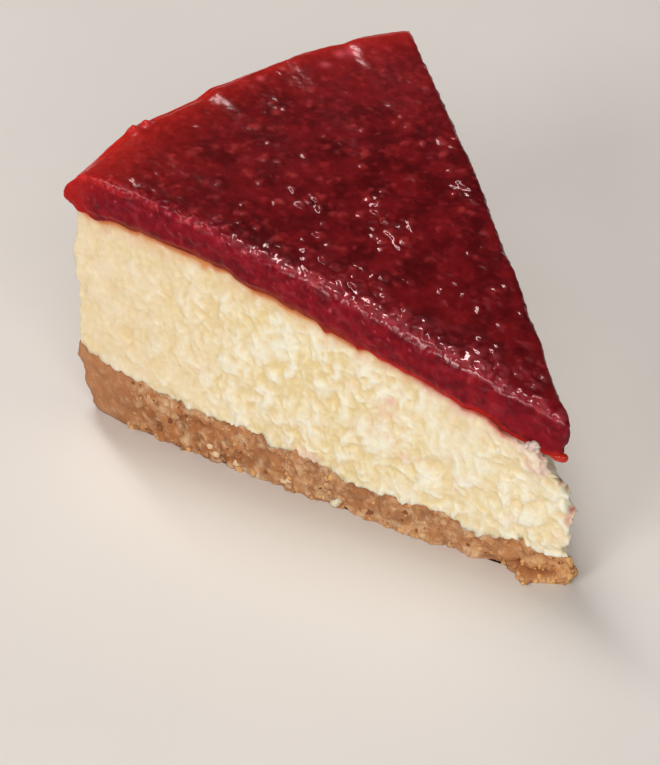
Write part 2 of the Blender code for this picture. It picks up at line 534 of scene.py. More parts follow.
def base_points(u, v, level):
    height = level * base_top(u, v)
    places = shaped(u, v, height, along(TIP_REACH, height))
    places = roughened(places, u, v, BASE_RELIEF, 31)
    relief = base_relief(places, u, v, height)
    stand, _ = chunk_marks(u, v, height)
    smooth_end = 1 - 0.75 * ease(0.80, 0.95, u)
    calm_tip = between(0.5, 1, ease(0, 0.03, u))
    places += cut_normal(v) * column((relief * smooth_end * calm_tip + stand) * (np.abs(v) == 1))
    places += unit(places) * column(0.6 * relief * (u == 1))
    places[:, 1] -= 0.4 * relief * (u == 0)
    under = (level == 0) & (u > 0) & (u < 1) & (np.abs(v) < 1)
    places[:, 2] += under * np.clip(0.1 * MM + relief, 0, UNDER_RELIEF)
    return places, relief


def base_colours(places, u, v, relief):
    margin, draw, _, fine_draw = crumb_cells(places)
    height = places[:, 2]
    patch = rough(places, 2.2 * MM, 91, octaves=3)
    patchy = ease(-0.1, 0.3, rough(places, 1.8 * MM, 93))
    pale_and_lit_foot = ease(1.6 * MM, 0.6 * MM, height) * patchy * ease(0.8, 0.65, u)
    golden = 0.45 * ease(0.11, 0.04, u) + 0.5 * ease(0.045, 0.01, u)
    _, crack = chunk_marks(u, v, height)
    shaded = ease(0.6 * MM, 1.4 * MM, height) * ease(3.2 * MM, 2.0 * MM, height) * ease(0.12, 0.09, u)
    layers = [
        (BISCUIT_ORANGE, 0.9 * ease(-0.1, 0.5, rough(places, 4.5 * MM, 85))),
        (BISCUIT_PALE, 0.45 * ease(0.5, 1, draw) + 0.75 * ease(0.70, 0.9, fine_draw)),
        (BISCUIT_DARK, 0.6 * ease(0.4, 0, draw) + 0.4 * ease(0.25, 0, fine_draw)),
        (BISCUIT_RUST_AND_SHADE, 0.7 * ease(0, 0.45, patch)),
        (BISCUIT_CREAMY, 0.5 * ease(-0.1, -0.55, patch)),
        # painted shade: darker in the hollows of the crumb
        (BISCUIT_DARK, 0.95 * ease(0, -0.55 * MM, relief)),
        # painted shade: darker in the gaps between lumps, away from the rim
        (BISCUIT_DARK, 0.5 * ease(0.10, 0, margin) * ease(0.9, 0.7, u)),
        # pale crumbs along the bottom edge, partly real and partly painted light that lifts the shade at
        # the foot
        (BISCUIT_CREAMY, 0.65 * pale_and_lit_foot),
        (BISCUIT_ORANGE, 0.4 * ease(0.16, 0.10, u)),
        (BISCUIT_GOLD, golden * ease(-0.5 * MM, 0.2 * MM, relief)),
        (BISCUIT_PALE, 0.2 * ease(0.70, 0.55, u)),
        # painted shade in the band above the broken piece at the tip
        (BISCUIT_RUST_AND_SHADE, 0.7 * shaded * ease(0.01, 0.03, u) * (v < LEFT_FACE)),
        # painted shade in the crack above the broken piece
        (BISCUIT_DARK, 0.9 * crack),
        (BISCUIT_BAKED, 0.7 * ease(0.80, 0.95, u)),
    ]
    return layered(plain(BISCUIT_BROWN, len(places)), layers)


def make_base():
    u, v, level, faces = layer_grid(BASE_STEP, BASE_RIM, top_fine=False, bottom_fine=True)
    places, relief = base_points(u, v, level)
    places[:, 2] = np.maximum(places[:, 2], 0)
    piece = mesh_object("crumb_base", places + CAKE_CENTRE, faces)
    turn_outward(piece)
    set_tint(piece, base_colours(places, u, v, relief))
    return piece


# ------------ cream filling

CREAM = (0.90, 0.775, 0.530)
CREAM_DEEP = (0.84, 0.68, 0.37)
CREAM_WHITE = (0.97, 0.90, 0.74)
CREAM_EDGE = (0.84, 0.65, 0.40)
AMBER = (0.68, 0.25, 0.06)
STAIN = (0.62, 0.16, 0.12)
SOAKED_RED = (0.46, 0.055, 0.03)
PINK = (0.84, 0.50, 0.40)
PALE_PINK = (0.90, 0.66, 0.56)

LUMP = 3.1 * MM
LUMP_STRETCH = (1, 1, 1.25)
DRAG = 1.2 * MM
DRAG_STRETCH = (1, 1, 5)

# Short slanting dents left by the knife in the left cut face, as (u, height)
DENTS = [(0.786, 32 * MM), (0.731, 32.8 * MM), (0.679, 34 * MM), (0.626, 34.5 * MM)]
DENT_HALF = (0.55 * MM, 1.7 * MM)
DENT_DEPTH = 0.55 * MM
# Small pits, as (u, height, radius)
PITS = [
    (0.896, 21.9 * MM, 1.3 * MM),
    (0.560, 27.7 * MM, 0.9 * MM),
    (0.480, 28.8 * MM, 0.8 * MM),
    (0.451, 24.1 * MM, 1.0 * MM),
    (0.406, 29.4 * MM, 0.9 * MM),
    (0.337, 33.1 * MM, 0.8 * MM),
    (0.251, 17.3 * MM, 1.3 * MM),
    (0.103, 15.1 * MM, 1.0 * MM),
    (0.077, 10.5 * MM, 0.9 * MM),
]
PIT_DEPTH = 0.7 * MM
# Torn flakes that stand proud, as (u, height, half length, half height, rise)
FLAKES = [
    (0.674, 23.5 * MM, 2.6 * MM, 1.8 * MM, 0.55 * MM),
    (0.668, 18.2 * MM, 0.9 * MM, 3.0 * MM, 0.45 * MM),
    (0.60, 20.5 * MM, 1.6 * MM, 1.2 * MM, 0.35 * MM),
    (0.115, 16.5 * MM, 1.2 * MM, 3.0 * MM, 0.7 * MM),
    (0.07, 13.0 * MM, 1.4 * MM, 2.4 * MM, 0.7 * MM),
]


def cut_marks(u, height):
    """The dents, pits and flakes of the left cut face."""
    marks = 0 * u
    for at, up in DENTS:
        out = (u - at) * CAKE_RADIUS
        rise = height - up
        across, down = (out - rise) / math.sqrt(2), (out + rise) / math.sqrt(2)
        marks -= DENT_DEPTH * np.exp(-((across / DENT_HALF[0]) ** 2) - (down / DENT_HALF[1]) ** 2)
    for at, up, radius in PITS:
        marks -= PIT_DEPTH * spot(u, height, (at, up), (radius, radius))
    for at, up, length, tall, rise in FLAKES:
        marks += rise * ease(0.25, 0.6, spot(u, height, (at, up), (length, tall)))
    return marks


def filling_relief(places, u, v, level):
    """Torn lumps, calmer towards the rim and under the jelly, and dragged by the knife near the tip."""
    calm_top = between(0.45, 1, np.maximum(ease(1, 0.85, level), ease(0.15, 0.08, u)))
    torn = between(0.5, 1, ease(0.95, 0.5, u)) * calm_top
    dragged = ease(0.34, 0.26, u) * ease(0.10, 0.16, u) * ease(0.3, 0.5, level)
    uneven = warped(places, 2.0 * MM, 0.9 * MM, 107)
    lumps = 1.15 * MM * billowed(uneven, LUMP, 109, LUMP_STRETCH)
    lumps += 0.24 * MM * rough(places, 1.2 * MM, 111, octaves=2)
    steps = 0.34 * MM * (ease(-0.12, 0.12, rough(places, 4.2 * MM, 113, LUMP_STRETCH)) - 0.5)
    drags = 0.30 * MM * field(places, DRAG, 127, DRAG_STRETCH)
    relief = torn * (lumps + steps) * (1 - 0.45 * dragged) + dragged * drags
    relief += 0.16 * MM * rough(places, 6 * MM, 131)
    return relief + cut_marks(u, places[:, 2]) * (v < -0.5)


def filling_points(u, v, level):
    height = between(base_top(u, v), filling_top(u, v), level)
    places = shaped(u, v, height, along(TIP_REACH, height))
    places = roughened(places, u, v, FILLING_RELIEF, 41)
    torn = (1 - u) ** TIP_POWER
    places[:, 0] += bump(TIP_RELIEF, places, 43) * torn
    places[:, 1] += bump(TIP_RELIEF, places, 47) * torn
    relief = filling_relief(places, u, v, level)
    at_tip = ease(BARE_TIP, 0.5 * BARE_TIP, u)
    top_round = np.minimum(0.8 * MM, 0.3 * half_width(u)) * ease(0.07, 0.02, u)
    drawn_in = rounded(np.maximum(top_round, 0.01 * MM), filling_top(u, v) - height)
    places += cut_normal(v) * column((relief - drawn_in) * (np.abs(v) == 1))
    places += unit(places) * column(0.6 * relief * (u == 1))
    places[:, 1] -= relief * (u == 0)
    places[:, 2] += relief * at_tip * (level == 1)
    return places, relief


# Where juice has run into the cream of the left face, as (u, height, radius, strength)
PINK_SPOTS = [
    (0.338, 28.0 * MM, 0.9 * MM, 0.8),
    (0.345, 25.0 * MM, 1.8 * MM, 0.3),
    (0.308, 16.8 * MM, 1.3 * MM, 0.45),
    (0.516, 8.8 * MM, 1.8 * MM, 0.8),
    (0.49, 9.2 * MM, 1.2 * MM, 0.6),
    (0.03, 25.6 * MM, 1.7 * MM, 0.7),
]
AMBER_SPOTS = [
    (0.724, 43.3 * MM, 1.0 * MM, 0.9),
    (0.62, 41.3 * MM, 0.8 * MM, 0.5),
    (0.84, 43.6 * MM, 1.3 * MM, 0.35),
    (0.815, 42.8 * MM, 1.2 * MM, 0.3),
]
SEED_BROWN = (0.15, 0.045, 0.038)
# Stains on the tip, as (v, level, radius, strength, colour)
TIP_STAINS = [
    (1.0, 0.82, 0.75 * MM, 1.0, SEED_BROWN),
    (0.70, 0.78, 0.5 * MM, 0.6, STAIN),
    (1.0, 0.73, 0.4 * MM, 0.7, STAIN),
    (0, 0.90, 1.5 * MM, 0.8, PALE_PINK),
    (0.40, 0.515, 1.0 * MM, 0.9, PINK),
    (0.70, 0.50, 0.7 * MM, 0.9, STAIN),
    (0.30, 0.40, 2.0 * MM, 0.7, PINK),
]


def filling_colours(places, u, v, relief):
    height = places[:, 2]
    below = filling_top(u, v) - height
    patch = rough(places, 3.5 * MM, 137)
    wander = rough(places, 2.2 * MM, 139)
    at_tip = ease(0.12, 0.05, u)
    blush = between(0.5, 0.7, at_tip) * np.exp(-below / (between(1.1, 1.8, at_tip) * MM))
    soaked = 0.85 * MM * np.clip(1 + 0.8 * wander, 0.3, 2)
    full = between(0.2, 0.6, ease(0.3, 0.5, u)) * MM
    covered = 1 - 0.85 * at_tip
    stained = column(0.95 * covered * np.exp(-np.maximum(below - full, 0) / soaked))
    layers = [
        # painted shade: yellower in the hollows of the curds
        (CREAM_DEEP, ease(-0.02 * MM, -0.35 * MM, relief)),
        # painted highlight: whiter on the tops of the lumps
        (CREAM_WHITE, 0.8 * ease(0, 0.35 * MM, relief)),
        (CREAM_DEEP, 0.5 * ease(0.1, 0.8, patch)),
        (CREAM_WHITE, 0.5 * ease(-0.1, -0.8, patch)),
        (PALE_PINK, 0.3 * ease(0.5, 0.3, u) * ease(0.2, 0.6, rough(places, 4.5 * MM, 135))),
        (CREAM_EDGE, 0.45 * ease(0.5, 0.95, u)),
        (CREAM_WHITE, 0.15 * ease(0.35, 0.2, u)),
        (PALE_PINK, blush * ease(-0.6, 0.6, wander)),
    ]
    tint = layered(plain(CREAM, len(places)), layers)
    juice = mixed(plain(AMBER, len(u)), STAIN, ease(0.45, 0.2, u))
    juice = mixed(juice, SOAKED_RED, 0.85 * np.exp(-np.maximum(below, 0) / (0.45 * MM)))
    tint = tint * (1 - stained) + juice * stained
    for side, up, radius, strength, colour in TIP_STAINS:
        centre, _ = place_of(filling_points, 0, side, up)
        away = np.linalg.norm(places - centre, axis=1) / radius
        tint = mixed(tint, colour, strength * ease(1.3, 0.6, away))
    left = v < -0.5
    for colour, spots in ((PINK, PINK_SPOTS), (AMBER, AMBER_SPOTS)):
        for at, up, radius, strength in spots:
            tint = mixed(tint, colour, strength * left * spot(u, height, (at, up), (radius, radius)))
    return tint


def make_filling():
    depth = RIM_HEIGHT - JELLY_RIM - BASE_RIM
    u, v, level, faces = layer_grid(FILLING_STEP, depth, top_fine=False, bottom_fine=False)
    places, relief = filling_points(u, v, level)
    piece = mesh_object("cut_filling", places + CAKE_CENTRE, faces)
    turn_outward(piece)
    set_tint(piece, filling_colours(places, u, v, relief))
    return piece


# ------------ berry jelly

JELLY_DEEP = (0.090, 0.003, 0.0045)
JELLY_RED = (0.165, 0.0055, 0.0075)
JELLY_PULP = (0.34, 0.020, 0.024)
# Pink of real specks in the cut, and of painted glints, highlights and sheen on the top
JELLY_SPECK_AND_GLINT_PINK = (0.62, 0.10, 0.13)
PULP_SPOT = (0.42, 0.036, 0.036)
PULP_SPACING = 2.8 * MM
# Painted glow where light shows through the jelly
JELLY_PAINTED_GLOW = (0.67, 0.022, 0.013)
JELLY_EDGE = (0.30, 0.042, 0.014)
JELLY_CUT = (0.235, 0.005, 0.012)
JELLY_CUT_DARK = (0.12, 0.002, 0.007)
JELLY_CUT_PALE = (0.38, 0.020, 0.035)

PULP = 2.1 * MM
RIDGE_WIDTH = 5.5 * MM
WRINKLES = 0.52 * MM
WRINKLE_LENGTH = 1.9 * MM
# How much higher than its smooth shape the top runs at the rim, as (v, rise)
RIM_RISE = [
    (-0.75, 0),
    (-0.56, 0.7 * MM),
    (-0.42, 0.6 * MM),
    (-0.30, 0),
    (-0.16, 0),
    (-0.05, 1.1 * MM),
    (0.08, 0.7 * MM),
    (0.22, 0.5 * MM),
    (0.43, 1.2 * MM),
    (0.64, 0.9 * MM),
    (0.71, 1.5 * MM),
    (1, 1.0 * MM),
]
DROP_RED = (0.50, 0.022, 0.010)
TOP_MATT = 0.10
BACK_MATT = 0.21
# Beyond this v the skin turns down the right cut face
RIGHT_EDGE = 0.97
# The skin is dull this near to the left cut face from DULL_FROM on, and everywhere beyond RIM_EDGE
DULL_WIDTH = 3 * MM
DULL_FROM = 0.68
RIM_EDGE = 0.985
CUT_MATT = 0.36
RIM_MATT = 0.30


def cut_distance(u, v):
    """How far inside the nearer cut face this is."""
    return radius_at(u) * np.sin(SLICE_ANGLE / 2 * (1 - np.abs(v)))


def ridge_nearness(u, v):
    """1 along the front top edge, fading away from it."""
    return fading(radius_at(u) * np.sin(SLICE_ANGLE / 2 * (1 + v)), RIDGE_WIDTH)


def pulp_spots(places, u):
    """1 in the middle of each small lump of pulp under the skin, fading to 0 at its edge."""
    near, _, draw = cells(warped(places, 1.6 * MM, 0.8 * MM, 185), PULP_SPACING, 187)
    reach = between(0.2, 0.55, draw)
    return ease(reach, 0.1 * reach, near) * ease(0.3, 0.5, draw) * between(0.2, 1, ease(0.25, 0.5, u))


def pulp_relief(places, uneven, u, v):
    """Berry drupelets in the jelly's skin, close together along the front edge, and lumps of pulp."""
    near, _, draw = cells(uneven, PULP, 151)
    patch = field(places, 9 * MM, 155)
    ridge = ridge_nearness(u, v)
    calm = between(1, 0.55, ease(0.62, 0.92, u)) * between(0.6, 1, ease(0.5, 0, v))
    share = between(0.27 + 1.0 * patch - 0.36 * ease(0.45, 0.7, u), 0.60, ridge)
    domes = ease(share + 0.1, share - 0.1, draw) * ease(0.75, 0.05, near)
    spots = 0.19 * MM * ease(0.93, 0.75, u) * pulp_spots(places, u)
    return calm * 0.45 * MM * domes + spots + 0.16 * MM * rough(places, 5 * MM, 157)


def wrinkle_relief(places, uneven, u, v, level):
    """The crumpled skin along the front edge, round on to the cut face, and in patches on the top."""
    patchy = ease(0, 0.3, field(places, 11 * MM, 163)) * ease(0.75, 0.5, u) * (level == 1)
    patchy *= between(1, 0.3, ease(0.2, 0.6, v))
    where = np.maximum(ridge_nearness(u, v) * ease(0.5, 0.8, level), patchy)
    fade = between(0.6, 1, ease(0.85, 0.55, u)) * between(0.4, 1, ease(0.0, 0.06, u))
    return WRINKLES * where * fade * billowed(uneven, WRINKLE_LENGTH, 159, octaves=1)


def jelly_points(u, v, level):
    bottom = filling_top(u, v) + JELLY_LIFT * fading(u, JELLY_LIFT_WIDTH)
    top = cake_top(u, v) + along(RIM_RISE, v) * np.exp((u - 1) / LIP_WIDTH)
    cut_round = between(along(LEFT_ROUND, u), RIGHT_ROUND, ease(-0.3, 0.3, v))
    cut_round = np.minimum(cut_round, 0.6 * half_width(u))
    cut_in = ARC_SHARE * cut_round * np.abs(v) ** EDGE_POWER
    rim_in = ARC_SHARE * RIM_ROUND * u**RIM_POWER
    cut_drop = rounded(cut_round, cut_distance(u, v) + cut_in)
    rim_drop = rounded(RIM_ROUND, (1 - u) * CAKE_RADIUS + rim_in)
    edge = top - np.hypot(cut_drop, rim_drop)
    places = shaped(u, v, bottom, JELLY_TIP_REACH - TIP_TAPER * ease(0.6, 0, level))
    places[:, 2] = between(bottom, edge, level)
    below = top - places[:, 2]
    on_top = level == 1
    cut_in = np.where(on_top, cut_in, rounded(cut_round, below))
    rim_in = np.where(on_top, rim_in, rounded(np.full_like(u, RIM_ROUND), below) * u**RIM_POWER)
    overhang = np.minimum(1, u / OVERHANG_START)
    cut_side = along(JELLY_CUT_BULGE, level) * np.abs(v) ** EDGE_POWER * overhang - cut_in
    rim_side = along(JELLY_RIM_BULGE, level) * u**RIM_POWER - rim_in
    places += cut_normal(v) * column(cut_side)
    places += unit(places * (1, 1, 0)) * column(rim_side)
    places[:, 2] += bump(JELLY_RELIEF, places, 53) * level
    return roughened(places, u, v, JELLY_RELIEF, 59)


# Small lumps that stand on the jelly's edges, as (u, v, level, radius, rise)
NUBS = [
    (0.995, -0.565, 1.0, 1.1 * MM, 1.3 * MM),
    (0.990, -0.495, 1.0, 1.1 * MM, 1.1 * MM),
    (1.0, -1.0, 0.30, 1.3 * MM, 0.5 * MM),
    (1.0, -0.97, 0.03, 1.1 * MM, 0.9 * MM),
    (0.98, -1.0, 0.05, 0.9 * MM, 0.4 * MM),
]


def nub_relief(places):
    found = np.zeros(len(places))
    for u, v, level, radius, rise in NUBS:
        centre = place_of(jelly_points, u, v, level)
        away = np.linalg.norm(places - centre, axis=1)
        found += rise * fading(away, radius)
    return found


def jelly_relief(places, u, v, level):
    uneven = warped(places, 1.8 * MM, 0.8 * MM, 149)
    on_top = pulp_relief(places, uneven, u, v)
    _, margin, draw = cells(places, 1.9 * MM, 167)
    on_cut = 0.22 * MM * (draw - 0.5) * ease(0, 0.3, margin) + 0.22 * MM * rough(places, 1.5 * MM, 173)
    return on_top, on_cut, wrinkle_relief(places, uneven, u, v, level)


# Soft pinkish highlights painted on the top near the rim, as (u, v, radius)
PAINTED_RIM_GLEAMS = [
    (0.966, 0.60, 1.1 * MM),
    (0.964, 0.66, 1.3 * MM),
    (0.943, 0.49, 0.9 * MM),
    (0.967, 0.16, 0.8 * MM),
]


def top_colours(places, u, v, relief):
    deep = rough(places, 5.5 * MM, 179, (1, 1, 2))
    flecks = ease(0.0, 0.9, rough(places, 1.7 * MM, 181, octaves=2))
    smears = ease(0.0, 0.8, rough(places, 4.5 * MM, 183, octaves=3))
    cloudy = between(0.65, 1, ease(0.35, 0.6, u)) * (0.4 * flecks + 0.15 * smears)
    edge = fading(cut_distance(u, v), 1.5 * MM) * (v < 0)
    painted_glint_dots = ease(0.05, 0.6, rough(places, 0.75 * MM, 197, octaves=2)) * ease(0.40, 0.65, u)
    painted_crest_sheen = ease(0.02 * MM, 0.12 * MM, relief) * ridge_nearness(u, v) * ease(0.6, 0.5, u)
    layers = [
        (JELLY_DEEP, ease(-0.5, 0.5, deep)),
        # pulp clouds, and a lighter patch at the back right that is painted sheen
        (JELLY_PULP, cloudy + 0.25 * ease(0.70, 0.9, u) * ease(0.1, 0.5, v)),
        (PULP_SPOT, 0.55 * pulp_spots(places, u)),
        # painted highlights on the domes' tops towards the rim
        (JELLY_SPECK_AND_GLINT_PINK, 0.35 * ease(0.15 * MM, 0.4 * MM, relief) * ease(0.5, 0.75, u)),
        # a paler pink band along the front top edge, painted sheen
        (JELLY_CUT_PALE, 0.4 * edge),
        # painted glints: pink dots along the front edge, towards the rim
        (JELLY_SPECK_AND_GLINT_PINK, 0.85 * edge * painted_glint_dots),
        # painted sheen: pink on the crests of the crumpled skin along the front edge, towards the tip
        (JELLY_SPECK_AND_GLINT_PINK, 0.2 * painted_crest_sheen),
    ]
    # painted highlights near the rim
    for at, across, radius in PAINTED_RIM_GLEAMS:
        centre = place_of(jelly_points, at, across, 1)
        layers.append((JELLY_SPECK_AND_GLINT_PINK, 0.8 * fading(np.linalg.norm(places - centre, axis=1), radius)))
    # painted glow: lighter and redder towards the rim, where light shows through the jelly
    painted_rim_glow = np.exp(-(1 - u) * CAKE_RADIUS / between(3 * MM, 6 * MM, ease(0.2, -0.8, v)))
    layers.append((JELLY_PAINTED_GLOW, 0.8 * painted_rim_glow))
    return layered(plain(JELLY_RED, len(places)), layers)


def cut_colours(places, u, level):
    beads = 0.8 * ease(0.55, 0.9, rough(places, 0.9 * MM, 197, octaves=2))
    layers = [
        (JELLY_CUT_DARK, 0.8 * ease(-0.3, 0.7, rough(places, 3.0 * MM, 191, (1, 1, 0.6)))),
        (JELLY_CUT_PALE, 0.55 * ease(0.1, 0.8, rough(places, 2.4 * MM, 193, octaves=3))),
        (JELLY_SPECK_AND_GLINT_PINK, beads * ease(0.3, 0.7, level)),
        (JELLY_EDGE, 0.8 * ease(0.25, 0.02, level) * ease(0.35, 0.5, u) * ease(0.93, 0.88, u)),
        # painted glow: lighter along the cut's lower edge towards the tip and at the rim corner, where
        # light shows through the jelly
        (JELLY_PAINTED_GLOW, 0.6 * ease(0.16, 0.02, level) * ease(0.5, 0.35, u) + 0.5 * ease(0.93, 1, u)),
    ]
    return layered(plain(JELLY_CUT, len(places)), layers)


def jelly_colours(places, u, v, level, relief):
    on_cut = column(np.maximum(ease(0.99, 1, np.abs(v)), u == 0) * ease(1, 0.9, level))
    return top_colours(places, u, v, relief) * (1 - on_cut) + cut_colours(places, u, level) * on_cut


def make_jelly(gels):
    """The gels are for the top, for the dull sides and for the bright front edge."""
    u, v, level, faces = layer_grid(JELLY_STEP, JELLY_RIM, top_fine=True, bottom_fine=False)
    places = jelly_points(u, v, level)
    piece = mesh_object("berry_jelly", places + CAKE_CENTRE, faces)
    turn_outward(piece)
    normals = np.empty(len(places) * 3, np.float32)
    piece.data.vertex_normals.foreach_get("vector", normals)
    normals = normals.reshape(-1, 3)
    upward = ease(0.35, 0.8, normals[:, 2])
    on_top, on_cut, wrinkles = jelly_relief(places, u, v, level)
    relief = (between(on_cut, on_top, upward) + wrinkles + nub_relief(places)) * (level > 0)
    places += normals * column(relief)
    piece.data.vertices.foreach_set("co", (places + CAKE_CENTRE).astype(np.float32).reshape(-1))
    for gel in gels:
        piece.data.materials.append(gel)
    dull = (upward < between(0.35, 0.75, ease(0.4, 0.6, u))) | (v > RIGHT_EDGE)
    dull |= ((v < 0) & (cut_distance(u, v) < DULL_WIDTH) & (u > DULL_FROM)) | (u > RIM_EDGE)
    bright = (v < 0) & (cut_distance(u, v) < between(1, 4.5, ease(0.05, 0.25, u)) * MM) & ~dull
    for face in piece.data.polygons:
        corners = list(face.vertices)
        face.material_index = 1 if dull[corners].mean() > 0.5 else 2 * int(bright[corners].mean() > 0.5)
    piece.data.update()
    set_tint(piece, jelly_colours(places, u, v, level, relief))
    matt = between(CUT_MATT, between(TOP_MATT, BACK_MATT, ease(0.5, 0.8, u)), upward)
    set_matt(piece, between(matt, RIM_MATT, ease(0.97, 1, u)))
    return piece


# ------------ loose and embedded bits

def blob(subdivisions):
    mesh = bmesh.new()
    bmesh.ops.create_icosphere(mesh, subdivisions=subdivisions, radius=1)
    points = np.array([vertex.co for vertex in mesh.verts])
    faces = np.array([[vertex.index for vertex in face.verts] for face in mesh.faces])
    mesh.free()
    return points, faces


def random_turns(count):
    """Rotation matrices, evenly spread over all turns."""
    w, x, y, z = unit(random.normal(size=(count, 4))).T
    rows = [
        (1 - 2 * (y * y + z * z), 2 * (x * y - z * w), 2 * (x * z + y * w)),
        (2 * (x * y + z * w), 1 - 2 * (x * x + z * z), 2 * (y * z - x * w)),
        (2 * (x * z - y * w), 2 * (y * z + x * w), 1 - 2 * (x * x + y * y)),
    ]
    return np.array(rows).transpose(2, 0, 1)


LUMP_DETAIL = 2.0
FLOOR_CLEARANCE = 0.02 * MM


def scattered(name, centres, sizes, colours, subdivisions=1, knobbly=0.3):
    """One mesh of uneven lumps, each with its centre, its half size and its own colour."""
    points, faces = blob(subdivisions)
    count = len(centres)
    if subdivisions > 1:
        shifted = points[None] * LUMP_DETAIL + random.uniform(0, 100, (count, 1, 3))
        waves = field(shifted.reshape(-1, 3), 1, 0).reshape(count, -1, 1)
    else:
        waves = random.uniform(-1, 1, (count, len(points), 1))
    shapes = points * (1 + knobbly * waves)
    shapes = shapes * (column(sizes) * random.uniform(0.6, 1.25, (count, 3)))[:, None, :]
    shapes = np.einsum("nij,nkj->nki", random_turns(count), shapes) + centres[:, None, :]
    places = shapes.reshape(-1, 3)
    places[:, 2] = np.maximum(places[:, 2], FLOOR_CLEARANCE)
    starts = np.arange(count)[:, None, None] * len(points)
    piece = mesh_object(name, places + CAKE_CENTRE, (faces + starts).reshape(-1, 3).tolist())
    set_tint(piece, np.repeat(colours, len(points), axis=0))
    return piece


CRUMB_COUNT = 620
EDGE_CRUMB_COUNT = 90
TIP_CRUMB_COUNT = 26

WHITE_PINK = (1.0, 0.64, 0.54)
# Bits of cream pressed on the jelly near the tip, as (u, level, how far out, half size)
JELLY_BITS = [
    (0.048, 0.13, 0.35 * MM, 1.15 * MM),
    (0.052, 0.05, 0.40 * MM, 1.0 * MM),
    (0.061, 0.03, 0.35 * MM, 0.95 * MM),
    (0.043, 0.05, 0.35 * MM, 0.8 * MM),
]
# Other single bits of cream, as (u, height, half size)
CREAM_BITS = [
    (1.0, 34.8 * MM, 0.5 * MM),
    (1.0, 30.6 * MM, 0.45 * MM),
    (0.441, 1.4 * MM, 0.9 * MM),
    (0.449, 0.9 * MM, 0.6 * MM),
]


def make_cream_bits():
    u, level, out, jelly_sizes = np.array(JELLY_BITS).T
    left = np.full(len(u), -1.0)
    on_jelly = jelly_points(u, left, level) + cut_normal(left) * column(out)
    u, height, cream_sizes = np.array(CREAM_BITS).T
    on_cream = shaped(u, np.full(len(u), -1.0), height, along(TIP_REACH, height))
    colours = np.concatenate([plain(WHITE_PINK, len(on_jelly)), plain(CREAM, len(on_cream))])
    sizes = np.concatenate([jelly_sizes, cream_sizes])
    return scattered("cream_bits", np.concatenate([on_jelly, on_cream]), sizes, colours, 3, 0.45)


def crumb_colours(count):
    """A golden brown for each crumb, some pale and some dark."""
    draw = random.uniform(0, 1, count)
    colours = mixed(plain(BISCUIT_BROWN, count), BISCUIT_PALE, ease(0.4, 0.85, draw))
    colours = mixed(colours, BISCUIT_GOLD, ease(0.85, 0.97, draw))
    return mixed(colours, BISCUIT_DARK, ease(0.3, 0.0, draw))


# Pale crumbs that stand out on the left cut face, as (u, height, half size)
PALE_CRUMBS = [
    (0.716, 2.6 * MM, 1.15 * MM),
    (0.703, 1.5 * MM, 0.9 * MM),
    (0.655, 1.3 * MM, 1.1 * MM),
    (0.555, 1.4 * MM, 0.9 * MM),
    (0.545, 1.8 * MM, 0.7 * MM),
    (0.475, 0.9 * MM, 0.9 * MM),
]


def make_crumbs():
    """Biscuit crumbs set in the base's cut faces and rim."""
    count = CRUMB_COUNT
    side = random.uniform(0, 1, count)
    u = np.where(side < 0.9, random.uniform(0, 0.9, count) ** 1.1, 1.0)
    v = np.where(side < 0.9, np.where(side < 0.45, -1.0, 1.0), random.uniform(-0.95, 0.95, count))
    level = random.uniform(0.04, 0.98, count)
    sizes = between(0.25, 0.8, random.uniform(0, 1, count) ** 2) * MM
    colours = crumb_colours(count)
    for i, (at, height, size) in enumerate(PALE_CRUMBS):
        top = place_of(base_top, at, -1)[0]
        u[i], v[i], level[i], sizes[i] = at, -1, height / top, size
        colours[i] = BISCUIT_CREAMY
    places, _ = base_points(u, v, level)
    inward = np.where(column(u == 1), unit(places * (1, 1, 0)), cut_normal(v))
    places -= inward * column(0.5 * sizes)
    return scattered("biscuit_crumbs", places, sizes, colours)


def make_edge_crumbs():
    """Crumbs that have come away along the bottom edge and at the tip."""
    edge_u = random.uniform(0.01, 0.9, EDGE_CRUMB_COUNT)
    edge_v = np.where(random.uniform(0, 1, EDGE_CRUMB_COUNT) < 0.55, -1.0, 1.0)
    tip_u = np.abs(random.normal(0.03, 0.04, TIP_CRUMB_COUNT))
    tip_v = np.where(random.uniform(0, 1, TIP_CRUMB_COUNT) < 0.8, -1.0, 1.0)
    u, v = np.concatenate([edge_u, tip_u]), np.concatenate([edge_v, tip_v])
    count = len(u)
    at_tip = np.arange(count) >= EDGE_CRUMB_COUNT
    level = np.where(at_tip, random.uniform(0, 0.5, count), random.uniform(0, 0.12, count))
    sizes = np.where(at_tip, random.uniform(0.25, 0.5, count), random.uniform(0.25, 0.7, count)) * MM
    places, _ = base_points(u, v, level)
    places -= cut_normal(v) * column(0.3 * at_tip * sizes)
    places[:, 2] = np.maximum(places[:, 2], 0.5 * sizes)
    colours = mixed(crumb_colours(count), BISCUIT_GOLD, 0.75 * at_tip + 0.35)
    return scattered("edge_crumbs", places, sizes, colours, subdivisions=2, knobbly=0.6)


# The drop of jelly that hangs off the tip, as (to the right, back, up) from the tip's lower edge
DROP_PATH = [
    (-0.9 * MM, 1.4 * MM, -0.5 * MM),
    (-0.3 * MM, 0.6 * MM, -0.7 * MM),
    (0.5 * MM, 0.1 * MM, -0.8 * MM),
    (1.4 * MM, 0, -0.8 * MM),
]
DROP_RADII = [0.5 * MM, 0.85 * MM, 0.85 * MM, 0.75 * MM]
DROP_AXES = np.array([(0.785, -0.619, 0), (0, 1, 0), (0, 0, 1)])
DROP_RINGS = 30
DROP_SIDES = 20


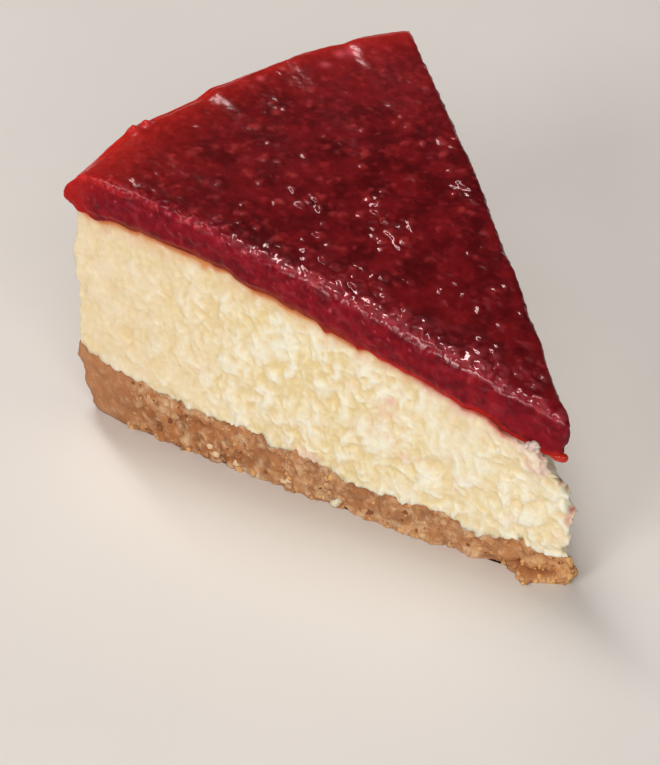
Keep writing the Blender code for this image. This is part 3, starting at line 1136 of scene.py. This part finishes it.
def make_drop():
    share = np.linspace(0, 1, DROP_RINGS)
    knots = np.linspace(0, 1, len(DROP_PATH))
    offsets = np.array(DROP_PATH) @ DROP_AXES
    route = np.stack([along(list(zip(knots, offsets[:, axis])), share) for axis in range(3)], axis=1)
    middle = place_of(jelly_points, 0, 0, 0) + route
    away = np.linalg.norm(middle - middle[-1], axis=1)
    radius = np.interp(share, knots, DROP_RADII)
    last = DROP_RADII[-1]
    radius *= np.sqrt(np.clip(1 - (1 - np.clip(away / last, 0, 1)) ** 2, 0.01, 1))
    turn = np.linspace(0, 2 * math.pi, DROP_SIDES, endpoint=False)
    heading = unit(np.gradient(middle, axis=0))
    across = unit(np.cross(heading, (0.3, 0.4, 1)))
    upward = np.cross(across, heading)
    ring = across[:, None] * column(np.cos(turn)) + upward[:, None] * column(np.sin(turn))
    places = (middle[:, None, :] + ring * radius[:, None, None]).reshape(-1, 3)
    faces = []
    for i in range(DROP_RINGS - 1):
        for j in range(DROP_SIDES):
            next_j = (j + 1) % DROP_SIDES
            a, b = i * DROP_SIDES, (i + 1) * DROP_SIDES
            faces.append((a + j, b + j, b + next_j, a + next_j))
    faces.append(tuple(range(DROP_SIDES)))
    faces.append(tuple(range((DROP_RINGS - 1) * DROP_SIDES, DROP_RINGS * DROP_SIDES)))
    piece = mesh_object("jelly_drop", places + CAKE_CENTRE, faces)
    turn_outward(piece)
    set_tint(piece, plain(DROP_RED, len(places)))
    set_matt(piece, np.full(len(places), TOP_MATT))
    return piece


# ------------ materials

def new_material(name):
    material = bpy.data.materials.new(name)
    material.use_nodes = True
    return material, material.node_tree, material.node_tree.nodes["Principled BSDF"]


def add_node(tree, kind, **settings):
    node = tree.nodes.new(kind)
    for name, value in settings.items():
        setattr(node, name, value)
    return node


def set_inputs(node, values):
    for name, value in values.items():
        node.inputs[name].default_value = value


def noise_node(tree, length, detail, roughness):
    place = add_node(tree, "ShaderNodeTexCoord")
    texture = add_node(tree, "ShaderNodeTexNoise")
    set_inputs(texture, {"Scale": 1 / length, "Detail": detail, "Roughness": roughness})
    tree.links.new(place.outputs["Object"], texture.inputs["Vector"])
    return texture.outputs["Fac"]


def ramp_node(tree, value, low, high):
    """The colour low where the value is under 0.3, running to the colour high where it is over 0.7."""
    ramp = add_node(tree, "ShaderNodeValToRGB")
    for element, at, colour in zip(ramp.color_ramp.elements, (0.3, 0.7), (low, high)):
        element.position = at
        element.color = (*colour, 1)
    tree.links.new(value, ramp.inputs["Fac"])
    return ramp.outputs["Color"]


def tinted(tree, value, low, high):
    """The piece's own tint, times a grey that runs from low to high with this value."""
    attribute = add_node(tree, "ShaderNodeAttribute", attribute_name="tint")
    ramp = ramp_node(tree, value, (low,) * 3, (high,) * 3)
    mix = add_node(tree, "ShaderNodeMix", data_type="RGBA", blend_type="MULTIPLY")
    set_inputs(mix, {"Factor": 1})
    tree.links.new(attribute.outputs["Color"], mix.inputs["A"])
    tree.links.new(ramp, mix.inputs["B"])
    return mix.outputs["Result"]


def bump_node(tree, height, depth):
    node = add_node(tree, "ShaderNodeBump")
    set_inputs(node, {"Strength": 1, "Distance": depth})
    tree.links.new(height, node.inputs["Height"])
    return node.outputs["Normal"]


def food_material(name, mottle, shades, grain, depth, inputs):
    """The piece's own tint, mottled between two shades, over a fine grain this deep. The mottle and the
    grain are each the length, detail and roughness of a noise."""
    material, tree, shader = new_material(name)
    tree.links.new(tinted(tree, noise_node(tree, *mottle), *shades), shader.inputs["Base Color"])
    tree.links.new(bump_node(tree, noise_node(tree, *grain), depth), shader.inputs["Normal"])
    set_inputs(shader, inputs)
    return material


def biscuit_material():
    inputs = {"Roughness": 0.78, "Specular IOR Level": 0.35}
    mottle, grain = (0.35 * MM, 4, 0.7), (0.45 * MM, 3, 0.6)
    return food_material("biscuit_crumb", mottle, (0.84, 1.16), grain, 0.16 * MM, inputs)


def cream_material():
    inputs = {
        "Roughness": 0.62,
        "Specular IOR Level": 0.2,
        "Subsurface Weight": 0.7,
        "Subsurface Radius": (1.0, 0.85, 0.6),
        "Subsurface Scale": 1.5 * MM,
    }
    mottle, grain = (0.9 * MM, 4, 0.6), (0.4 * MM, 3, 0.6)
    return food_material("baked_cream", mottle, (0.95, 1.04), grain, 0.10 * MM, inputs)


def jelly_material(name, specular):
    """Clear jelly, as rough at each vertex as the piece's own matt value says."""
    inputs = {
        "IOR": 1.42,
        "Specular IOR Level": specular,
        "Specular Tint": (1, 0.74, 0.75, 1),
        "Subsurface Weight": 0.5,
        "Subsurface Radius": (1.0, 0.12, 0.1),
        "Subsurface Scale": 2.5 * MM,
    }
    mottle, grain = (1.6 * MM, 4, 0.6), (0.9 * MM, 2, 0.5)
    material = food_material(name, mottle, (0.8, 1.2), grain, 0.05 * MM, inputs)
    tree = material.node_tree
    matt = add_node(tree, "ShaderNodeAttribute", attribute_name="matt")
    tree.links.new(matt.outputs["Fac"], tree.nodes["Principled BSDF"].inputs["Roughness"])
    return material


def floor_material():
    material, tree, shader = new_material("pale_floor")
    cloud = noise_node(tree, 60 * MM, 3, 0.5)
    colour = ramp_node(tree, cloud, (0.775, 0.73, 0.685), (0.805, 0.76, 0.715))
    tree.links.new(colour, shader.inputs["Base Color"])
    set_inputs(shader, {"Roughness": 0.6})
    return material


# ------------ stage, lights and camera

FLOOR_HALF = 3.0


def make_floor():
    h = FLOOR_HALF
    corners = np.array([(-h, -h, 0), (h, -h, 0), (h, h, 0), (-h, h, 0)])
    floor = mesh_object("floor", corners, [(0, 1, 2, 3)], smooth=False)
    floor.data.materials.append(floor_material())


def add_light(name, toward, distance, size, watts, colour):
    data = bpy.data.lights.new(name, "AREA")
    data.shape = "ELLIPSE"
    data.size, data.size_y = size
    data.energy = watts
    data.color = colour
    light = bpy.data.objects.new(name, data)
    toward = Vector(toward).normalized()
    light.location = Vector((0, 0, 20 * MM)) + toward * distance
    light.rotation_euler = toward.to_track_quat("Z", "Y").to_euler()
    bpy.context.scene.collection.objects.link(light)


def make_lights():
    add_light("window", (-0.85, -0.20, 0.45), 1.5, (0.7, 0.7), 9.2, (1, 0.985, 0.965))
    add_light("overhead", (0.05, 0.44, 0.90), 1.35, (0.16, 1.1), 8.5, (1, 0.96, 0.94))
    add_light("sky", (-0.10, 0.10, 1), 1.4, (1.2, 1.2), 1.5, (1, 0.98, 0.96))
    add_light("fill", (-0.45, -0.75, 0.70), 1.5, (1.0, 1.0), 8.2, (1, 0.98, 0.96))
    world = bpy.data.worlds.new("room")
    world.use_nodes = True
    background = world.node_tree.nodes["Background"]
    set_inputs(background, {"Color": (0.95, 0.98, 1, 1), "Strength": 0.06})
    bpy.context.scene.world = world


CAMERA_PLACE = Vector((-0.3276, -0.3995, 0.4014))
CAMERA_AIM = Vector((0.0039, 0.0212, 0))
CAMERA_ROLL = math.radians(1.16)
CAMERA_LENS = 164.7


def make_camera():
    data = bpy.data.cameras.new("camera")
    data.lens = CAMERA_LENS
    data.clip_start = 0.05
    camera = bpy.data.objects.new("camera", data)
    toward = (CAMERA_PLACE - CAMERA_AIM).normalized()
    right = Vector((0, 0, 1)).cross(toward).normalized()
    up = toward.cross(right)
    basis = Matrix((right, up, toward)).transposed() @ Matrix.Rotation(CAMERA_ROLL, 3, "Z")
    camera.matrix_world = Matrix.Translation(CAMERA_PLACE) @ basis.to_4x4()
    bpy.context.scene.collection.objects.link(camera)
    bpy.context.scene.camera = camera
    bpy.context.scene.view_settings.view_transform = "Standard"


# ------------ all of it

def attach(piece, material, replaced=None):
    if not piece.data.materials:
        piece.data.materials.append(material)
    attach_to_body(piece, "root")
    if replaced:
        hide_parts(replaced)


make_camera()
make_lights()
make_floor()
biscuit = biscuit_material()
cream = cream_material()
top_gel = jelly_material("berry_gel", specular=0.5)
cut_gel = jelly_material("berry_gel_cut", specular=0.15)
ridge_gel = jelly_material("berry_gel_ridge", specular=0.95)
attach(make_base(), biscuit, "biscuit_base")
attach(make_filling(), cream, "cream_filling")
attach(make_jelly((top_gel, cut_gel, ridge_gel)), top_gel, "berry_topping")
attach(make_cream_bits(), cream)
attach(make_crumbs(), biscuit)
attach(make_edge_crumbs(), biscuit)
attach(make_drop(), top_gel)
